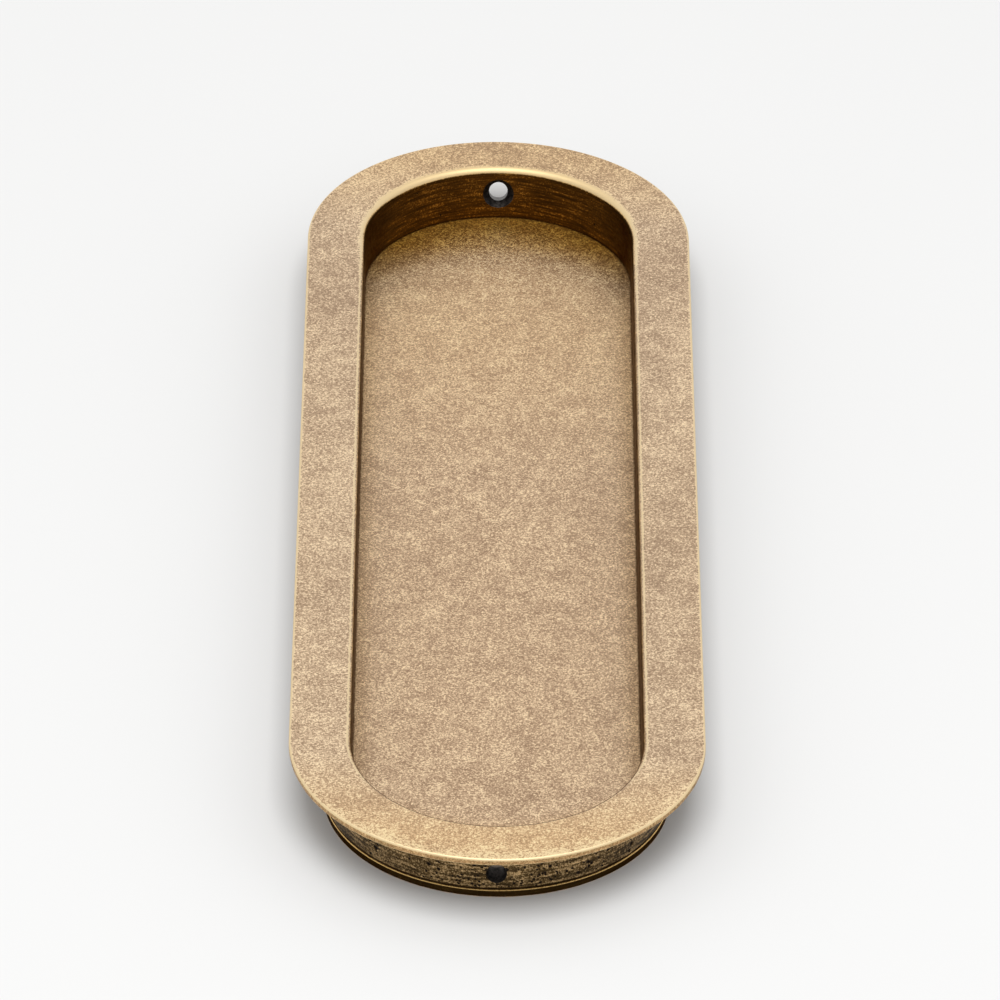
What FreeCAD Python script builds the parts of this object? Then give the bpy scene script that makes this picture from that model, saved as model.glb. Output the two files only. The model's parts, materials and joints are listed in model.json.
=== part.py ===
"""Flush pull for a pocket door: an obround brass cup that drops into a mortise.

The pull is two pieces. A cast surround has a flat flange that lies on the door's face, and a wall that
goes into the mortise. A flat base plate of the wall's own outline closes the wall from behind, so it is
the floor of the finger recess. A countersunk screw hole runs through the wall at each end. Both holes
lean back, so that a driver held over the flange reaches a screw inside the recess.

Frame: millimetres, +Z out of the door's face, +Y along the pull and towards its top end.
The origin is in the middle of the base plate's back.
"""

import FreeCAD, Part
import math
import os

# Flange: the flat part that shows on the door's face
FLANGE_LENGTH = 200.0
FLANGE_WIDTH = 60.0
FLANGE_THICKNESS = 1.0
FLANGE_TOP_ROUND = 0.35
FLANGE_UNDER_ROUND = 0.2

# Wall: what goes into the mortise, and the recess inside it
PULL_DEPTH = 10.0
FLANGE_OVERHANG = 5.0
WALL_THICKNESS = 4.0
RECESS_MOUTH_ROUND = 1.0

# Base plate, and the broken edges that leave a fine groove where it meets the wall
BASE_THICKNESS = 1.2
BASE_EDGE_ROUND = 0.2
WALL_FOOT_CHAMFER = 0.25

# Screw holes: each crosses the middle of the wall's thickness a little below the middle of its height.
# The screw's head sinks in, so the rim of its countersunk seat is clear of the recess's side all round.
SCREW_HOLE_DIAMETER = 3.0
SCREW_HOLE_LEAN = 20.0
SCREW_HOLE_DROP = 0.3
SCREW_HEAD_DIAMETER = 4.9
SCREW_HEAD_SINK = 1.1
SCREW_SEAT_ANGLE = 90.0

# Sizes that follow from the ones above
WALL_LENGTH = FLANGE_LENGTH - 2 * FLANGE_OVERHANG
WALL_WIDTH = FLANGE_WIDTH - 2 * FLANGE_OVERHANG
RECESS_LENGTH = WALL_LENGTH - 2 * WALL_THICKNESS
RECESS_WIDTH = WALL_WIDTH - 2 * WALL_THICKNESS
FLANGE_UNDERSIDE = PULL_DEPTH - FLANGE_THICKNESS
SCREW_HOLE_HEIGHT = (BASE_THICKNESS + FLANGE_UNDERSIDE) / 2 - SCREW_HOLE_DROP
SPINE_HALF = (FLANGE_LENGTH - FLANGE_WIDTH) / 2

EDGE_TOLERANCE = 1e-4
UP = FreeCAD.Vector(0, 0, 1)


def obround(width, length, bottom, top):
    """A straight-sided block with half-round ends, lengthwise along Y."""
    radius = width / 2
    straight = length / 2 - radius
    corners = [
        FreeCAD.Vector(radius, -straight, bottom),
        FreeCAD.Vector(radius, straight, bottom),
        FreeCAD.Vector(-radius, straight, bottom),
        FreeCAD.Vector(-radius, -straight, bottom),
    ]
    far_point = FreeCAD.Vector(0, length / 2, bottom)
    near_point = FreeCAD.Vector(0, -length / 2, bottom)
    outline = Part.Wire(
        [
            Part.LineSegment(corners[0], corners[1]).toShape(),
            Part.Arc(corners[1], far_point, corners[2]).toShape(),
            Part.LineSegment(corners[2], corners[3]).toShape(),
            Part.Arc(corners[3], near_point, corners[0]).toShape(),
        ]
    )
    return Part.Face(outline).extrude(UP * (top - bottom))


def off_spine(point):
    """How far a point is from the straight line that joins the centres of the two round ends."""
    past_end = max(abs(point.y) - SPINE_HALF, 0)
    return math.hypot(point.x, past_end)


def outline_edges(solid, width, height):
    """The edges of one obround outline: those at this height, half the width away from the spine."""
    found = []
    for edge in solid.Edges:
        middle = edge.valueAt((edge.FirstParameter + edge.LastParameter) / 2)
        level = max(abs(vertex.Z - height) for vertex in edge.Vertexes)
        outward = abs(off_spine(middle) - width / 2)
        if level < EDGE_TOLERANCE and outward < EDGE_TOLERANCE:
            found.append(edge)
    return found


def screw_hole(end):
    """The cutter for one leaning, countersunk screw hole. end is 1 at the top of the pull, else -1."""
    lean = math.radians(SCREW_HOLE_LEAN)
    way_in = FreeCAD.Vector(0, -end * math.cos(lean), math.sin(lean))
    mid_wall = FreeCAD.Vector(0, end * (RECESS_LENGTH + WALL_THICKNESS) / 2, SCREW_HOLE_HEIGHT)
    through_wall = WALL_THICKNESS / math.cos(lean)
    inner_mouth = mid_wall + way_in * (through_wall / 2)

    # The shank's cylinder runs on past both faces of the wall
    hole_radius = SCREW_HOLE_DIAMETER / 2
    overrun = SCREW_HOLE_DIAMETER
    shank = Part.makeCylinder(
        hole_radius,
        through_wall + 2 * overrun,
        inner_mouth - way_in * (through_wall + overrun),
        way_in,
    )

    # The seat is a cone, and the head's bore runs on from its rim into the recess
    head_radius = SCREW_HEAD_DIAMETER / 2
    seat_depth = (head_radius - hole_radius) / math.tan(math.radians(SCREW_SEAT_ANGLE / 2))
    seat_rim = inner_mouth - way_in * SCREW_HEAD_SINK
    seat = Part.makeCone(hole_radius, head_radius, seat_depth, seat_rim - way_in * seat_depth, way_in)
    head_bore = Part.makeCylinder(head_radius, SCREW_HEAD_SINK + overrun, seat_rim, way_in)
    return shank.fuse(seat).fuse(head_bore)


def make_surround():
    """The cast surround: flange and wall in one piece, open through the middle, drilled at both ends."""
    flange = obround(FLANGE_WIDTH, FLANGE_LENGTH, FLANGE_UNDERSIDE, PULL_DEPTH)
    wall = obround(WALL_WIDTH, WALL_LENGTH, BASE_THICKNESS, PULL_DEPTH)
    recess = obround(RECESS_WIDTH, RECESS_LENGTH, BASE_THICKNESS, PULL_DEPTH)
    surround = flange.fuse(wall).cut(recess).removeSplitter()

    rounds = [
        (FLANGE_WIDTH, PULL_DEPTH, FLANGE_TOP_ROUND),
        (FLANGE_WIDTH, FLANGE_UNDERSIDE, FLANGE_UNDER_ROUND),
        (RECESS_WIDTH, PULL_DEPTH, RECESS_MOUTH_ROUND),
    ]
    for width, height, radius in rounds:
        surround = surround.makeFillet(radius, outline_edges(surround, width, height))
    foot = outline_edges(surround, WALL_WIDTH, BASE_THICKNESS)
    surround = surround.makeChamfer(WALL_FOOT_CHAMFER, foot)

    for end in (1, -1):
        surround = surround.cut(screw_hole(end))
    return surround.Solids[0]


def make_base_plate():
    """The sheet base plate, soldered under the wall. Its edges are broken all round, above and below."""
    plate = obround(WALL_WIDTH, WALL_LENGTH, 0, BASE_THICKNESS)
    for height in (BASE_THICKNESS, 0):
        plate = plate.makeFillet(BASE_EDGE_ROUND, outline_edges(plate, WALL_WIDTH, height))
    return plate.Solids[0]


pieces = {
    "surround": make_surround(),
    "base_plate": make_base_plate(),
}

os.makedirs("parts", exist_ok=True)
for node, solid in pieces.items():
    print(node, "valid:", solid.isValid(), "volume mm3:", round(solid.Volume, 1))
    solid.exportStep(os.path.join("parts", node + ".step"))
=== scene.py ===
import json
import math
import random

import bmesh
import bpy
from mathutils import Matrix, Vector, kdtree, noise


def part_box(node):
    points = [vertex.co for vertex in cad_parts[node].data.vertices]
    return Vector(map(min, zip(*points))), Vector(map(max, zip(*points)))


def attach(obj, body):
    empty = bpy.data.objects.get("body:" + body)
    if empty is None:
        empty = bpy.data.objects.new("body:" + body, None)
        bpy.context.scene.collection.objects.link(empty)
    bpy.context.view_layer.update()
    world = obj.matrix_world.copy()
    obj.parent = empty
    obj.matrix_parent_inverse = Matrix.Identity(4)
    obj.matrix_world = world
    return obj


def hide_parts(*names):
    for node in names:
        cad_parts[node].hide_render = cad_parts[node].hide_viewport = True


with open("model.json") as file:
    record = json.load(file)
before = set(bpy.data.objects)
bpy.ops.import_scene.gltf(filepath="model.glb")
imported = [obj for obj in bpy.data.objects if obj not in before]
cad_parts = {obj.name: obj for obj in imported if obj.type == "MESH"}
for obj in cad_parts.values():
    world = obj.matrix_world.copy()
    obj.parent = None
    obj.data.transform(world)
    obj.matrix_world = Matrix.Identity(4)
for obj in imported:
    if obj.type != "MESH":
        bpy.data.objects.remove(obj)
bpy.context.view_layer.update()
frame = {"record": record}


# The surround: flange and wall in one brass casting, machined on the faces that show, then tumbled and
# patinated. Its wall goes into the mortise and still has the casting's pits on the outside.
# A countersunk hole is drilled through each round end, leaning back so that a driver can reach it.
MM = 0.001

surround_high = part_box("surround")[1]
plate_low, plate_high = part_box("base_plate")
mounts = {mount["name"]: mount for mount in frame["record"]["mounts"]}

face_height = surround_high.z
flange_underside = mounts["flange_seat"]["pos_m"][2]
foot_height = plate_high.z
flange_reach = surround_high.x
wall_reach = plate_high.x
wall_thickness = 4.0 * MM
recess_reach = wall_reach - wall_thickness
half_spine = surround_high.y - flange_reach

mouth_round = 1.0 * MM
flange_top_round = 0.35 * MM
flange_under_round = 0.2 * MM
foot_chamfer = 0.25 * MM
edge_tolerance = 0.02 * MM


def run(start, end, steps, border=0.06 * MM):
    """Points of a straight stretch of a section, without its end, with a close one beside each corner."""
    start = Vector(start)
    end = Vector(end)
    length = (end - start).length
    places = [step / steps for step in range(steps)]
    if length > 4 * border:
        places += [border / length, 1 - border / length]
    return [start.lerp(end, place) for place in sorted(places)]


def bend(centre, radius, from_degrees, to_degrees, steps):
    """Points of a rounded corner of a section, without its end."""
    points = []
    for step in range(steps):
        angle = math.radians(from_degrees + (to_degrees - from_degrees) * step / steps)
        points.append(Vector(centre) + radius * Vector((math.cos(angle), math.sin(angle))))
    return points


def outline_stations(straight_steps, arc_steps):
    """Places round the obround outline: a point of the spine, and the way out from it."""
    stations = []
    for end in (1, -1):
        for step in range(straight_steps):
            along = end * half_spine * (2 * step / straight_steps - 1)
            stations.append((Vector((0, along, 0)), Vector((end, 0, 0))))
        for step in range(arc_steps):
            angle = math.pi * step / arc_steps
            outward = Vector((end * math.cos(angle), end * math.sin(angle), 0))
            stations.append((Vector((0, end * half_spine, 0)), outward))
    return stations


def solid_mesh(name, points, faces):
    """A mesh with its double points joined and every face turned outwards."""
    mesh = bpy.data.meshes.new(name)
    mesh.from_pydata(points, [], faces)
    form = bmesh.new()
    form.from_mesh(mesh)
    bmesh.ops.remove_doubles(form, verts=form.verts, dist=0.001 * MM)
    bmesh.ops.recalc_face_normals(form, faces=form.faces)
    form.to_mesh(mesh)
    form.free()
    return mesh


def sweep(name, section, stations, closed):
    """A mesh whose section, given as distance off the spine and height, runs right round the outline."""
    points = []
    for spine, outward in stations:
        for off, height in section:
            points.append(spine + outward * off + Vector((0, 0, height)))
    faces = []
    rows = len(section)
    for station in range(len(stations)):
        onward = (station + 1) % len(stations)
        for row in range(rows if closed else rows - 1):
            above = (row + 1) % rows
            faces.append(
                (station * rows + row, onward * rows + row, onward * rows + above, station * rows + above)
            )
    return solid_mesh(name, points, faces)


def put(name, data):
    """An object of this name in the scene."""
    made = bpy.data.objects.new(name, data)
    bpy.context.scene.collection.objects.link(made)
    return made


def off_spine(point):
    """How far a point is from the line that joins the centres of the two round ends."""
    return math.hypot(point.x, max(abs(point.y) - half_spine, 0))


recess_side = run((recess_reach, foot_height), (recess_reach, face_height - mouth_round), 15)
recess_mouth = bend((recess_reach + mouth_round, face_height - mouth_round), mouth_round, 180, 90, 10)
flange_face = run(
    (recess_reach + mouth_round, face_height), (flange_reach - flange_top_round, face_height), 9
)
flange_arris = bend(
    (flange_reach - flange_top_round, face_height - flange_top_round), flange_top_round, 90, 0, 6
)
flange_edge = run(
    (flange_reach, face_height - flange_top_round), (flange_reach, flange_underside + flange_under_round), 3
)
under_centre = (flange_reach - flange_under_round, flange_underside + flange_under_round)
under_arris = bend(under_centre, flange_under_round, 0, -90, 5)
under_flange = run(
    (flange_reach - flange_under_round, flange_underside), (wall_reach, flange_underside), 6
)
wall_outside = run((wall_reach, flange_underside), (wall_reach, foot_height + foot_chamfer), 16)
wall_foot = run((wall_reach, foot_height + foot_chamfer), (wall_reach - foot_chamfer, foot_height), 1)
wall_foot += run((wall_reach - foot_chamfer, foot_height), (recess_reach, foot_height), 3)

surround_section = recess_side + recess_mouth + flange_face + flange_arris + flange_edge
surround_section += under_arris + under_flange + wall_outside + wall_foot
surround_stations = outline_stations(straight_steps=84, arc_steps=150)
casting = sweep("surround_casting", surround_section, surround_stations, closed=True)
surround = put("surround_casting", casting)


def add_node(tree, kind, inputs=None, **settings):
    """A shader node with its settings, and its sockets linked or set."""
    made = tree.nodes.new("ShaderNode" + kind)
    for setting, value in settings.items():
        setattr(made, setting, value)
    for socket, value in (inputs or {}).items():
        if isinstance(value, bpy.types.NodeSocket):
            tree.links.new(value, made.inputs[socket])
        else:
            made.inputs[socket].default_value = value
    return made


def new_finish(name):
    """A material with an empty shader tree."""
    finish = bpy.data.materials.new(name)
    finish.use_nodes = True
    finish.node_tree.nodes.clear()
    return finish, finish.node_tree


def place_in_mm(tree, stretch=(1, 1, 1)):
    """Places on the piece in millimetres, squeezed by a factor along each axis."""
    place = add_node(tree, "TexCoord").outputs["Object"]
    scale = [factor / MM for factor in stretch]
    return add_node(tree, "Mapping", {"Vector": place, "Scale": scale}).outputs["Vector"]


def mottle(tree, place, size, detail=2.0, roughness=0.5):
    """Cloudy variation from 0 to 1, with patches of about this size in millimetres."""
    inputs = {"Vector": place, "Scale": 1 / size, "Detail": detail, "Roughness": roughness}
    return add_node(tree, "TexNoise", inputs).outputs["Fac"]


def weigh(tree, start, *terms):
    """A start value plus each varying value times its weight."""
    total = start
    for value, weight in terms:
        inputs = {0: value, 1: weight, 2: total}
        total = add_node(tree, "Math", inputs, operation="MULTIPLY_ADD").outputs[0]
    return total


def tone(tree, amount, stops):
    """A colour that follows an amount through these stops."""
    ramp = add_node(tree, "ValToRGB", {"Fac": amount})
    elements = ramp.color_ramp.elements
    while len(elements) < len(stops):
        elements.new(1.0)
    for element, (position, colour) in zip(elements, stops):
        element.position = position
        element.color = (*colour, 1)
    return ramp.outputs["Color"]


def laid_over(tree, amount, under, over):
    """One colour laid over another by an amount."""
    mixed = add_node(tree, "Mix", {0: amount, 6: under, 7: over}, data_type="RGBA")
    return mixed.outputs[2]


def ease(tree, amount, low, high, to_low=0.0, to_high=1.0):
    """An amount eased from one range to another."""
    inputs = {"Value": amount, "From Min": low, "From Max": high, "To Min": to_low, "To Max": to_high}
    return add_node(tree, "MapRange", inputs, interpolation_type="SMOOTHSTEP").outputs["Result"]


def painted(tree, name):
    """An amount that the piece's own mesh carries at each point."""
    return add_node(tree, "Attribute", attribute_name=name).outputs["Fac"]


def antique_brass(name, patina, patchy):
    """Brass under a brown patina that tumbling wore through in flecks and at edges, with painted light and
    shade.
    """
    finish, tree = new_finish(name)
    place = place_in_mm(tree)
    # Amounts the mesh carries, some of them painted light and shade as well as wear, dirt and patina
    wall = painted(tree, "wall")
    arris = painted(tree, "arris")
    grime = painted(tree, "grime")
    tarnish = painted(tree, "tarnish")
    handled = painted(tree, "handled")

    # Mottling, from specks a quarter of a millimetre wide to broad patches, and streaks along the walls
    speckle = mottle(tree, place, 0.26, 1.5, 0.8)
    fleck = mottle(tree, place, 0.5, 2.0, 0.6)
    cloud = mottle(tree, place, 3.0, 3.0, 0.6)
    drift = mottle(tree, place, 20.0, 2.0, 0.5)
    streak = mottle(tree, place_in_mm(tree, (0.14, 0.14, 1.7)), 0.7, 4.0, 0.65)

    # Short bright scratches of the tumbling: a wavering line, broken up
    waver = mottle(tree, place, 0.8, 1.0, 0.5)
    off_line = add_node(tree, "Math", {0: waver, 1: 0.5}, operation="SUBTRACT").outputs[0]
    off_line = add_node(tree, "Math", {0: off_line}, operation="ABSOLUTE").outputs[0]
    scratch = ease(tree, off_line, 0.0, 0.03, 1.0, 0.0)
    whole = ease(tree, mottle(tree, place, 0.5, 1.0, 0.5), 0.5, 0.62)
    scratch = add_node(tree, "Math", {0: scratch, 1: whole}, operation="MULTIPLY").outputs[0]

    # Flecks where the tumbling went right through to the metal
    spark = ease(tree, speckle, 0.62, 0.8)

    # Edges worn bright, and painted highlights on the mouth's round and along the plate's seam
    rubbed_and_highlight = weigh(tree, -0.55, (arris, 1.3), (speckle, 0.7), (cloud, 0.4))
    rubbed_and_highlight = ease(tree, rubbed_and_highlight, 0.3, 0.9)
    # Dark old polish, and painted shade in corners, lines and along the recess's sides
    soiled_and_shaded = weigh(tree, -0.4, (grime, 1.2), (fleck, 0.5), (cloud, 0.3))
    soiled_and_shaded = ease(tree, soiled_and_shaded, 0.25, 0.95)
    pitted = ease(tree, painted(tree, "pit"), 0.05, 0.5)

    # How far the patina is worn through, from 0 to about 1: on the faces, on the walls, then all together,
    # raised by worn edges and painted highlights, lowered by dirt, painted shade and pits
    on_face = weigh(tree, -1.945 + patchy / 2, (speckle, 3.15), (fleck, 0.85), (cloud, 0.8))
    on_face = weigh(tree, on_face, (drift, -patchy), (spark, 0.8), (scratch, 0.25))
    on_wall = weigh(tree, -2.86, (streak, 2.2), (speckle, 2.2), (fleck, 1.2))
    on_wall = weigh(tree, on_wall, (cloud, 0.6), (tarnish, -0.2))
    bare = add_node(tree, "Mix", {0: wall, 2: on_face, 3: on_wall}).outputs[0]
    bare = weigh(tree, bare, (rubbed_and_highlight, 1.0), (soiled_and_shaded, -0.6), (pitted, -1.0))
    worn = ease(tree, bare, 0.0, 1.0)

    golden = [(0.0, (0.47, 0.285, 0.142)), (0.5, (0.77, 0.505, 0.268)), (1.0, (1.0, 0.81, 0.47))]
    # Dark wall colours, which also paint shade on the mouth's round along the long sides
    stain_and_shade = [(0.3, (0.028, 0.0165, 0.0045)), (0.7, (0.128, 0.076, 0.024))]
    worn_wall = (0.68, 0.475, 0.25, 1)
    # Bright colour of worn edges, also used for painted highlights
    rubbed_brass_and_highlight = (0.84, 0.67, 0.41, 1)
    # Warm tint of deep patina, also used for painted shade on the floor near the round ends
    tarnish_and_shade_tint = (1.0, 0.77, 0.23, 1)
    # Dark colour of old polish, also used for painted shade
    polish_and_shade_dark = (0.035, 0.018, 0.006, 1)
    pit_black = (0.012, 0.006, 0.003, 1)
    glance_brown = (0.4, 0.23, 0.07, 1)
    # Golden where handled, and painted light on the plate's floor towards its top end
    face_colour = laid_over(tree, handled, tone(tree, bare, patina), tone(tree, bare, golden))
    wall_colour = laid_over(tree, worn, tone(tree, streak, stain_and_shade), worn_wall)
    colour = laid_over(tree, wall, face_colour, wall_colour)
    colour = laid_over(tree, rubbed_and_highlight, colour, rubbed_brass_and_highlight)
    # Deep warm patina, and painted shade on the floor near the round ends
    inputs = {0: tarnish, 6: colour, 7: tarnish_and_shade_tint}
    colour = add_node(tree, "Mix", inputs, data_type="RGBA", blend_type="MULTIPLY").outputs[2]
    colour = laid_over(tree, soiled_and_shaded, colour, polish_and_shade_dark)
    colour = laid_over(tree, pitted, colour, pit_black)

    metallic = weigh(tree, 0.86, (rubbed_and_highlight, 0.14), (soiled_and_shaded, 0.12))
    roughness = weigh(tree, 0.29, (worn, 0.19), (rubbed_and_highlight, 0.06), (soiled_and_shaded, 0.25), (pitted, 0.3))
    relief = weigh(tree, 0.0, (speckle, 1.0), (fleck, 0.5), (scratch, 0.1))
    bump_strength = weigh(tree, 1.0, (rubbed_and_highlight, -0.8))
    bump = add_node(tree, "Bump", {"Height": relief, "Strength": bump_strength, "Distance": 0.045 * MM})
    # Seen along the surface, dirt and painted shade stay brown where bare metal would go white
    glance = laid_over(tree, soiled_and_shaded, (1, 1, 1, 1), glance_brown)
    inputs = {"Base Color": colour, "Metallic": metallic, "Roughness": roughness, "Specular Tint": glance}
    shader = add_node(tree, "BsdfPrincipled", {**inputs, "Normal": bump.outputs["Normal"]})
    add_node(tree, "OutputMaterial", {"Surface": shader.outputs["BSDF"]})
    return finish


def blackened_bore():
    """The drilled metal inside a screw hole, blackened unevenly by the patina bath."""
    finish, tree = new_finish("blackened_bore")
    smut = mottle(tree, place_in_mm(tree), 0.5, 3.0, 0.6)
    colour = tone(tree, smut, [(0.3, (0.03, 0.027, 0.026)), (0.7, (0.14, 0.124, 0.113))])
    roughness = weigh(tree, 0.34, (smut, 0.15))
    inputs = {"Base Color": colour, "Metallic": 1.0, "Roughness": roughness}
    shader = add_node(tree, "BsdfPrincipled", inputs)
    add_node(tree, "OutputMaterial", {"Surface": shader.outputs["BSDF"]})
    return finish


cast_patina = [(0.0, (0.37, 0.241, 0.143)), (0.5, (0.625, 0.441, 0.281)), (1.0, (1.0, 0.797, 0.53))]
casting.materials.append(antique_brass("antique_cast_brass", cast_patina, patchy=0.65))
bore_finish = blackened_bore()


def drill(name, mount, around=72):
    """A tool of the screw hole's own form, shank, seat and head, that cuts its hole in the surround."""
    radius = mount["dims"]["r_mm"] * MM
    half_length = mount["dims"]["length_mm"] * MM / 2
    middle = Vector(mount["pos_m"])
    axis = Vector(mount["axis"]).normalized()
    across = Vector((1, 0, 0))
    upward = axis.cross(across)
    head_radius = 2.45 * MM
    seat_rim = half_length + head_radius - radius
    past_wall = 4.0 * MM
    profile = [
        (-half_length - past_wall, radius),
        (half_length, radius),
        (seat_rim, head_radius),
        (seat_rim + past_wall, head_radius),
    ]
    points = []
    for along, reach in profile:
        for step in range(around):
            angle = 2 * math.pi * step / around
            outward = across * math.cos(angle) + upward * math.sin(angle)
            points.append(middle + axis * along + outward * reach)
    last = len(profile) - 1
    faces = [tuple(range(around)), tuple(range(last * around, (last + 1) * around))]
    for ring in range(last):
        for step in range(around):
            onward = (step + 1) % around
            first = ring * around
            faces.append((first + step, first + onward, first + around + onward, first + around + step))
    mesh = solid_mesh(name, points, faces)
    mesh.materials.append(bore_finish)
    return put(name, mesh)


screw_holes = [mounts["top_screw_hole"], mounts["bottom_screw_hole"]]
tools = [drill("drill_" + mount["name"], mount) for mount in screw_holes]
for tool in tools:
    cut = surround.modifiers.new(tool.name, "BOOLEAN")
    cut.operation = "DIFFERENCE"
    cut.solver = "EXACT"
    cut.material_mode = "TRANSFER"
    cut.object = tool
drilled = surround.evaluated_get(bpy.context.evaluated_depsgraph_get())
surround_mesh = bpy.data.meshes.new_from_object(drilled)
surround.modifiers.clear()
surround.data = surround_mesh
for tool in tools:
    bpy.data.objects.remove(tool)


def wall_place(along, height, reach, facing):
    """A place on a wall and its way out, so far along the outline from the middle of the bottom end."""
    quarter = math.pi / 2 * reach
    side = 1 if along >= 0 else -1
    along = abs(along)
    if along <= quarter:
        angle = along / reach
        outward = Vector((side * math.sin(angle), -math.cos(angle), 0))
        spine = Vector((0, -half_spine, 0))
    elif along <= quarter + 2 * half_spine:
        outward = Vector((side, 0, 0))
        spine = Vector((0, along - quarter - half_spine, 0))
    else:
        angle = (along - quarter - 2 * half_spine) / reach
        outward = Vector((side * math.cos(angle), math.sin(angle), 0))
        spine = Vector((0, half_spine, 0))
    return spine + outward * reach + Vector((0, 0, height)), outward * facing


def casting_pits():
    """Gas pits of the casting: place, way out of the metal, radius and depth of each."""
    draw = random.Random(41)
    outside = math.pi * wall_reach + 2 * half_spine
    inside = math.pi * recess_reach + 2 * half_spine
    low = foot_height + 0.5 * MM
    high = flange_underside - 0.2 * MM
    beside_each_hole = 210
    groups_outside = 46
    inside_recess = 46
    pits = []

    def add(along, height, reach, facing, radius):
        place, outward = wall_place(along, height, reach, facing)
        pits.append((place, outward, radius, radius * draw.uniform(0.5, 0.9)))

    # A fine scatter beside each screw hole, where the round ends of the casting cooled last
    for end in (0, outside):
        for _ in range(beside_each_hole):
            along = end + draw.gauss(0, 7.5 * MM)
            add(along, draw.uniform(low, high), wall_reach, 1, draw.uniform(0.1, 0.23) * MM)

    # Groups of larger pits all round the outside
    for _ in range(groups_outside):
        middle = draw.uniform(-outside, outside)
        level = draw.uniform(low, high)
        for _ in range(draw.randint(2, 7)):
            along = middle + draw.gauss(0, 1.3 * MM)
            height = min(max(level + draw.gauss(0, 1.3 * MM), low), high)
            add(along, height, wall_reach, 1, draw.uniform(0.14, 0.34) * MM)

    # A chain of open pits on the left of the bottom end, and two groups on its right
    for middle, count in ((-19.0 * MM, 9), (13.5 * MM, 5), (22.0 * MM, 8)):
        for step in range(count):
            along = middle + draw.gauss(0, 0.8 * MM)
            height = low + (high - low) * (step + draw.uniform(0.2, 0.8)) / count
            add(along, height, wall_reach, 1, draw.uniform(0.2, 0.36) * MM)

    # A few that the machining opened on the recess's side
    for _ in range(inside_recess):
        along = draw.uniform(-inside, inside)
        height = draw.uniform(foot_height + 0.4 * MM, face_height - 1.6 * MM)
        add(along, height, recess_reach, -1, draw.uniform(0.09, 0.22) * MM)
    return pits


def sink_pits(mesh, pits, finest=0.145 * MM):
    """Refines the mesh round each pit, pushes the pit's floor into the metal, and carries its depth."""
    tree = kdtree.KDTree(len(pits))
    for number, pit in enumerate(pits):
        tree.insert(pit[0], number)
    tree.balance()
    widest = max(pit[2] for pit in pits)

    form = bmesh.new()
    form.from_mesh(mesh)
    for _ in range(4):
        edges = set()
        for face in form.faces:
            longest = max(edge.calc_length() for edge in face.edges)
            if longest < finest or face.material_index:
                continue
            middle = face.calc_center_median()
            for _place, number, distance in tree.find_range(middle, widest * 1.5 + longest):
                if distance < pits[number][2] * 1.3 + longest * 0.6:
                    edges.update(edge for edge in face.edges if edge.calc_length() > finest * 0.8)
                    break
        bmesh.ops.subdivide_edges(form, edges=list(edges), cuts=1, use_grid_fill=True)

    depth_layer = form.verts.layers.float.new("pit")
    for vertex in form.verts:
        sunk = 0.0
        way_in = Vector()
        for _place, number, distance in tree.find_range(vertex.co, widest * 1.4):
            _place, outward, radius, depth = pits[number]
            if vertex.normal.dot(outward) < 0.5:
                continue
            ragged = radius * (1 + 0.5 * noise.noise(vertex.co / (0.3 * MM) + Vector((number, 0, 0))))
            if distance < ragged:
                share = (1 - (distance / ragged) ** 2) ** 1.2
                if share * depth > sunk:
                    sunk = share * depth
                    way_in = -outward
                    vertex[depth_layer] = share
        vertex.co += way_in * sunk
    form.to_mesh(mesh)
    form.free()


sink_pits(surround_mesh, casting_pits())


def nearness(distance, tight, wide):
    """1 on a line, falling steeply and then slowly to 0 away from it."""
    return 0.62 * math.exp(-((distance / tight) ** 2)) + 0.38 * math.exp(-((distance / wide) ** 2))


def strongest(point, lines):
    """The most that any of these lines round the outline gives a point."""
    # Each line has its distance off the spine, its height, its strength, and how tight and wide it spreads
    amounts = []
    for line_off, line_height, strength, tight, wide in lines:
        distance = math.hypot(off_spine(point) - line_off, point.z - line_height)
        amounts.append(strength * nearness(distance, tight, wide))
    return max(amounts)


def part_way(amount, low, high):
    """How far an amount is on its way from low to high, from 0 to 1."""
    return min(max((amount - low) / (high - low), 0.0), 1.0)


def carry(mesh, **wear_and_painted_light):
    """Gives each point of a mesh its amounts of wear and painted light and shade, worked out from its
    place.
    """
    for name, amount_at in wear_and_painted_light.items():
        layer = mesh.attributes.new(name, "FLOAT", "POINT")
        layer.data.foreach_set("value", [amount_at(vertex.co) for vertex in mesh.vertices])


def on_long_side(point):
    """1 beside the straight long sides, and 0 round most of each end."""
    return part_way(abs(point.x) / off_spine(point), 0.75, 0.95)


def surround_wall(point):
    """1 on the recess's side, the wall and under the flange, and 0 on the flange's face and edge."""
    if off_spine(point) > flange_reach - flange_under_round:
        return 0.0
    # On the long sides the dark wall colour starts higher on the mouth's round, and more softly: painted
    # shade
    long_side = on_long_side(point)
    stain_start = (0.6 - 0.5 * long_side) * mouth_round
    stain_full = stain_start + (0.15 + 0.42 * long_side) * mouth_round
    share = part_way(face_height - point.z, stain_start, stain_full)
    return share * share * (3 - 2 * share)


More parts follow.
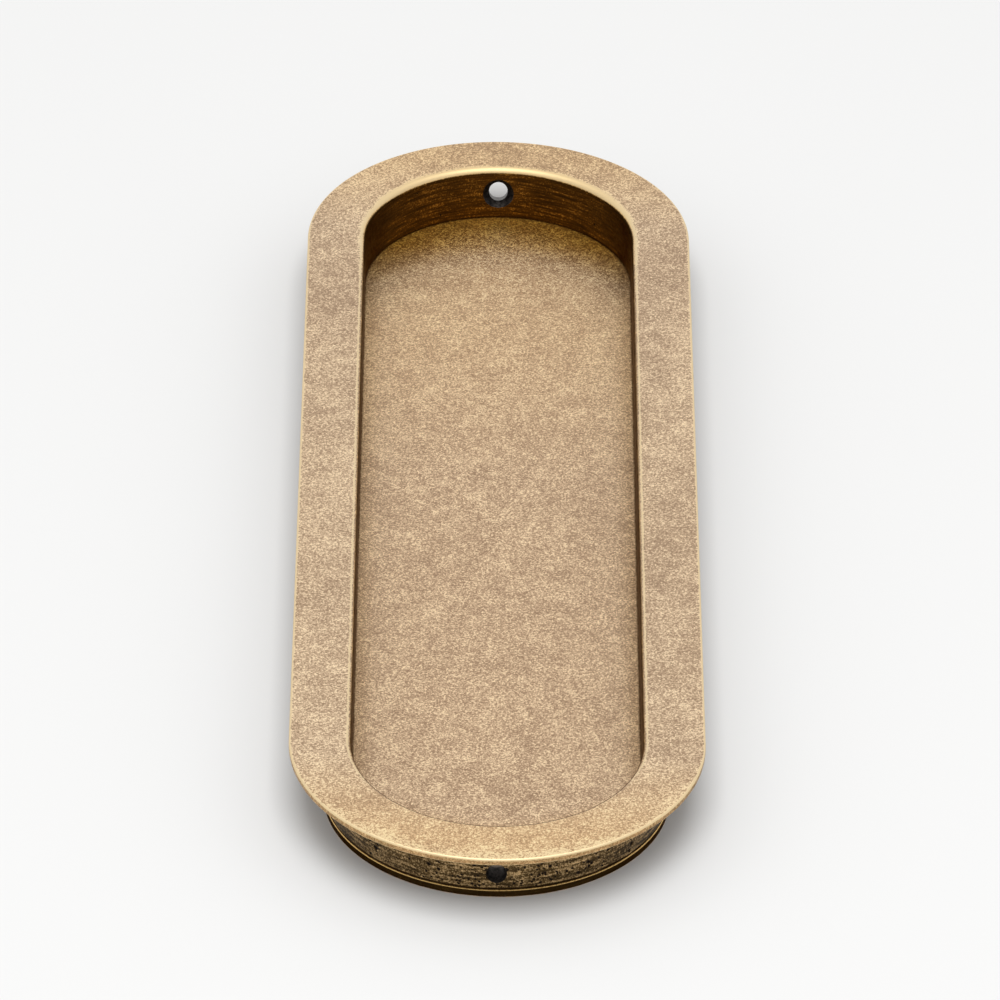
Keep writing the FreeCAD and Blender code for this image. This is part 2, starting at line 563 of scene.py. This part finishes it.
def surround_rub_and_highlight(point):
    """How near a point is to an edge worn bright by hands and tumbling, or to a painted highlight."""
    on_face = 1 if point.z > face_height - 0.1 * MM else 0
    bottom_rub = 0.42 * part_way(-point.y, 55 * MM, 95 * MM) * on_face
    # Painted highlights on the mouth's round towards the top end and in a thin line along the long sides
    mouth_rub_and_highlight = (0.12 + 0.8 * part_way(point.y, 45 * MM, 85 * MM)) * (1 - surround_wall(point))
    side_highlight = 0.62 * on_long_side(point)
    edges = [
        (flange_reach, face_height, 0.9, 0.28 * MM, 0.5 * MM),
        (flange_reach, face_height, bottom_rub, 2.5 * MM, 6.0 * MM),
        (flange_reach, flange_underside, 0.7, 0.16 * MM, 0.25 * MM),
        (recess_reach + 0.3 * MM, face_height - 0.4 * MM, mouth_rub_and_highlight, 1.0 * MM, 1.3 * MM),
        (recess_reach + 0.62 * MM, face_height - 0.08 * MM, side_highlight, 0.2 * MM, 0.28 * MM),
    ]
    return strongest(point, edges)


def surround_grime_and_shade(point):
    """How dark the colour is made, by dirt and by painted shade in corners, lines and the recess."""
    off = off_spine(point)
    # Painted shade under the flange, dirt and painted shade in the recess's foot, a painted dark seam line
    corners = [
        (wall_reach, flange_underside, 1.0, 0.35 * MM, 1.2 * MM),
        (recess_reach, foot_height, 0.6, 0.15 * MM, 0.6 * MM),
        (wall_reach - 0.1 * MM, foot_height + 0.15 * MM, 1.15, 0.27 * MM, 0.34 * MM),
    ]
    # The painted shade line inside the bottom lip rolls down the mouth's round to the long sides' shade
    past_end = -point.y - half_spine
    if past_end > 0:
        lip = 1.25 * part_way(past_end, 0.0, 0.25 * recess_reach)
        roll = math.atan2(0.55, past_end / off)
        lip_off = recess_reach + (1 - math.sin(roll)) * mouth_round
        lip_height = face_height - (1 - math.cos(roll)) * mouth_round
        corners.append((lip_off, lip_height, lip, 0.18 * MM, 0.25 * MM))
    # A darker film on the flange's edge; dirt and painted shade in the recess, more along the long sides
    film = 0.0
    if off > flange_reach - edge_tolerance:
        film = 0.42
    elif off < recess_reach + mouth_round:
        film = (0.36 + 0.2 * on_long_side(point)) * surround_wall(point)
    return max(film, strongest(point, corners))


def surround_tarnish(point):
    """How deep and warm the patina is: deepest inside the recess, where the tumbling hardly reaches."""
    off = off_spine(point)
    if off > flange_reach - edge_tolerance:
        return 0.22
    outside_recess = off > recess_reach + 1.5 * MM
    if outside_recess and point.z < face_height - 0.5 * MM:
        return 0.15
    return max(0.9 * surround_wall(point), 0.2 * part_way(point.y, 74 * MM, 94 * MM))


def surround_handled(point):
    """How golden the flange is from handling: most at its bottom end, some at its top end."""
    return (0.95 if point.y < 0 else 0.2) * part_way(abs(point.y), 74 * MM, 94 * MM)


def smooth_rounds(mesh):
    """Shades the rounds smooth and keeps the corners sharp."""
    mesh.shade_smooth()
    mesh.set_sharp_from_angle(angle=math.radians(38))


carry(
    surround_mesh,
    arris=surround_rub_and_highlight,
    grime=surround_grime_and_shade,
    wall=surround_wall,
    tarnish=surround_tarnish,
    handled=surround_handled,
)
smooth_rounds(surround_mesh)

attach(surround, "root")
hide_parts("surround")


# The base plate: sheet brass cut to the wall's own outline and soldered under it, so that its top is the
# floor of the recess. Its edge shows below the wall, and its upper arris beside the seam is worn bright
# and carries a painted highlight.
plate_edge_round = 0.2 * MM
beside_wall = recess_reach - 1.5 * MM
under_wall = recess_reach + 0.5 * MM

plate_top = run((0, foot_height), (beside_wall, foot_height), 14)
plate_top += run((beside_wall, foot_height), (under_wall, foot_height), 10)
plate_top += run((under_wall, foot_height), (wall_reach - plate_edge_round, foot_height), 4)
plate_edge = bend(
    (wall_reach - plate_edge_round, foot_height - plate_edge_round), plate_edge_round, 90, 0, 5
)
plate_edge += run(
    (wall_reach, foot_height - plate_edge_round), (wall_reach, plate_low.z + plate_edge_round), 4
)
plate_edge += bend(
    (wall_reach - plate_edge_round, plate_low.z + plate_edge_round), plate_edge_round, 0, -90, 5
)
plate_back = run((wall_reach - plate_edge_round, plate_low.z), (0, plate_low.z), 10)
plate_back += [Vector((0, plate_low.z))]
plate_section = plate_top + plate_edge + plate_back
plate_stations = outline_stations(straight_steps=130, arc_steps=170)
plate_mesh = sweep("recess_floor_plate", plate_section, plate_stations, closed=False)
base_plate = put("recess_floor_plate", plate_mesh)


def plate_rub_and_highlight(point):
    """How near a point is to the plate's two outside edges, the upper one worn most and a painted
    highlight.
    """
    edges = [
        (wall_reach, foot_height, 0.75, 0.14 * MM, 0.18 * MM),
        (wall_reach, plate_low.z, 0.3, 0.15 * MM, 0.3 * MM),
    ]
    return strongest(point, edges)


def plate_grime_and_shade(point):
    """How dark the plate's edge and the wall's corner are: dirt and painted shade."""
    if off_spine(point) > wall_reach - edge_tolerance:
        return 0.58
    if point.z < foot_height - plate_edge_round:
        return 0.0
    return 0.7 * nearness(abs(off_spine(point) - recess_reach), 0.15 * MM, 0.8 * MM)


def plate_wall(point):
    """1 on the plate's edge, and 0 on its faces."""
    return 1.0 if off_spine(point) > wall_reach - edge_tolerance else 0.0


def plate_tarnish_and_shade(point):
    """How deep and warm the colour is: deepest beside the wall, and wider as painted shade at the ends."""
    off = off_spine(point)
    if off > wall_reach - plate_edge_round:
        return 0.6
    if point.z < foot_height - plate_edge_round:
        return 0.0
    round_end = part_way(abs(point.y), half_spine, half_spine + 12 * MM)
    spread = (1.8 + 8.2 * round_end) * MM
    return (0.2 + 0.8 * round_end) * math.exp(-(((recess_reach - off) / spread) ** 2))


def plate_painted_light(point):
    """How much lighter and more golden the floor is painted towards the top end: painted light."""
    return 0.45 * part_way(point.y, 15 * MM, 55 * MM)


carry(
    plate_mesh,
    arris=plate_rub_and_highlight,
    grime=plate_grime_and_shade,
    wall=plate_wall,
    tarnish=plate_tarnish_and_shade,
    handled=plate_painted_light,
)
sheet_patina = [(0.0, (0.36, 0.227, 0.13)), (0.5, (0.61, 0.414, 0.258)), (1.0, (1.0, 0.78, 0.50))]
plate_mesh.materials.append(antique_brass("antique_sheet_brass", sheet_patina, patchy=0.15))
smooth_rounds(plate_mesh)

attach(base_plate, "root")
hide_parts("base_plate")


# The studio: a plain white table, a wide soft lamp above and a little in front of the pull, and a room
# that is bright behind the table and at both sides, and a little less so in front, where the camera stands.
table_half = 6.0
table_top = plate_low.z - 0.01 * MM
table_colour = (0.79, 0.79, 0.785, 1)

table_mesh = bpy.data.meshes.new("table")
ways = [(-1, -1), (1, -1), (1, 1), (-1, 1)]
table_corners = [(x * table_half, y * table_half, table_top) for x, y in ways]
table_mesh.from_pydata(table_corners, [], [(0, 1, 2, 3)])
table_white, tree = new_finish("table_white")
shader = add_node(tree, "BsdfDiffuse", {"Color": table_colour})
add_node(tree, "OutputMaterial", {"Surface": shader.outputs["BSDF"]})
table_mesh.materials.append(table_white)
floor = put("table", table_mesh)

lamp_data = bpy.data.lights.new("soft_lamp", "AREA")
lamp_data.shape = "RECTANGLE"
lamp_data.size = 1.0
lamp_data.size_y = 1.35
lamp_data.energy = 15.4
lamp = put("soft_lamp", lamp_data)
lamp.location = (0, -0.38, 1.5)

room = bpy.data.worlds.new("room")
room.use_nodes = True
tree = room.node_tree
tree.nodes.clear()
direction = add_node(tree, "TexCoord").outputs["Generated"]
parts = add_node(tree, "SeparateXYZ", {0: direction}).outputs
sideways = add_node(tree, "Math", {0: parts["X"]}, operation="ABSOLUTE").outputs[0]
behind = ease(tree, parts["Y"], -0.3, 0.6)
between_sides = ease(tree, sideways, 0.5, 0.9, 1.0, 0.0)
window = add_node(tree, "Math", {0: behind, 1: between_sides}, operation="MULTIPLY").outputs[0]
fill = ease(tree, parts["Y"], -0.8, -0.2, 1.0, 0.0)
glow = ease(tree, sideways, 0.45, 0.85)
brightness = weigh(tree, 0.25, (window, 0.58), (fill, 0.4), (glow, 0.6))
shader = add_node(tree, "Background", {"Color": (1, 1, 1, 1), "Strength": brightness})
add_node(tree, "OutputWorld", {"Surface": shader.outputs["Background"]})
bpy.context.scene.world = room


# The camera: a long lens above the bottom end of the pull, looking along it at the photograph's angle.
# A small turn, roll and shift bring the pull to the same place in the picture.
view_elevation = math.radians(32.79)
view_turn = math.radians(0.342)
view_roll = math.radians(-0.750)
view_distance = 1306.9 * MM
view_right = 0.313 * MM
view_down = 3.40 * MM

face_middle = Vector((0, 0, face_height))
across = Vector((math.cos(view_turn), -math.sin(view_turn), 0))
along = Vector((math.sin(view_turn), math.cos(view_turn), 0))
level = Vector((0, 0, 1))
ahead = along * math.cos(view_elevation) - level * math.sin(view_elevation)
upright = along * math.sin(view_elevation) + level * math.cos(view_elevation)
camera_right = across * math.cos(view_roll) - upright * math.sin(view_roll)
camera_up = across * math.sin(view_roll) + upright * math.cos(view_roll)

camera_data = bpy.data.cameras.new("camera")
camera_data.sensor_width = 36.0
camera_data.lens = 312.3
camera = put("camera", camera_data)
camera.rotation_euler = Matrix((camera_right, camera_up, -ahead)).transposed().to_euler()
camera.location = face_middle + camera_right * view_right - camera_up * view_down - ahead * view_distance
bpy.context.scene.camera = camera
bpy.context.scene.view_settings.view_transform = "Standard"
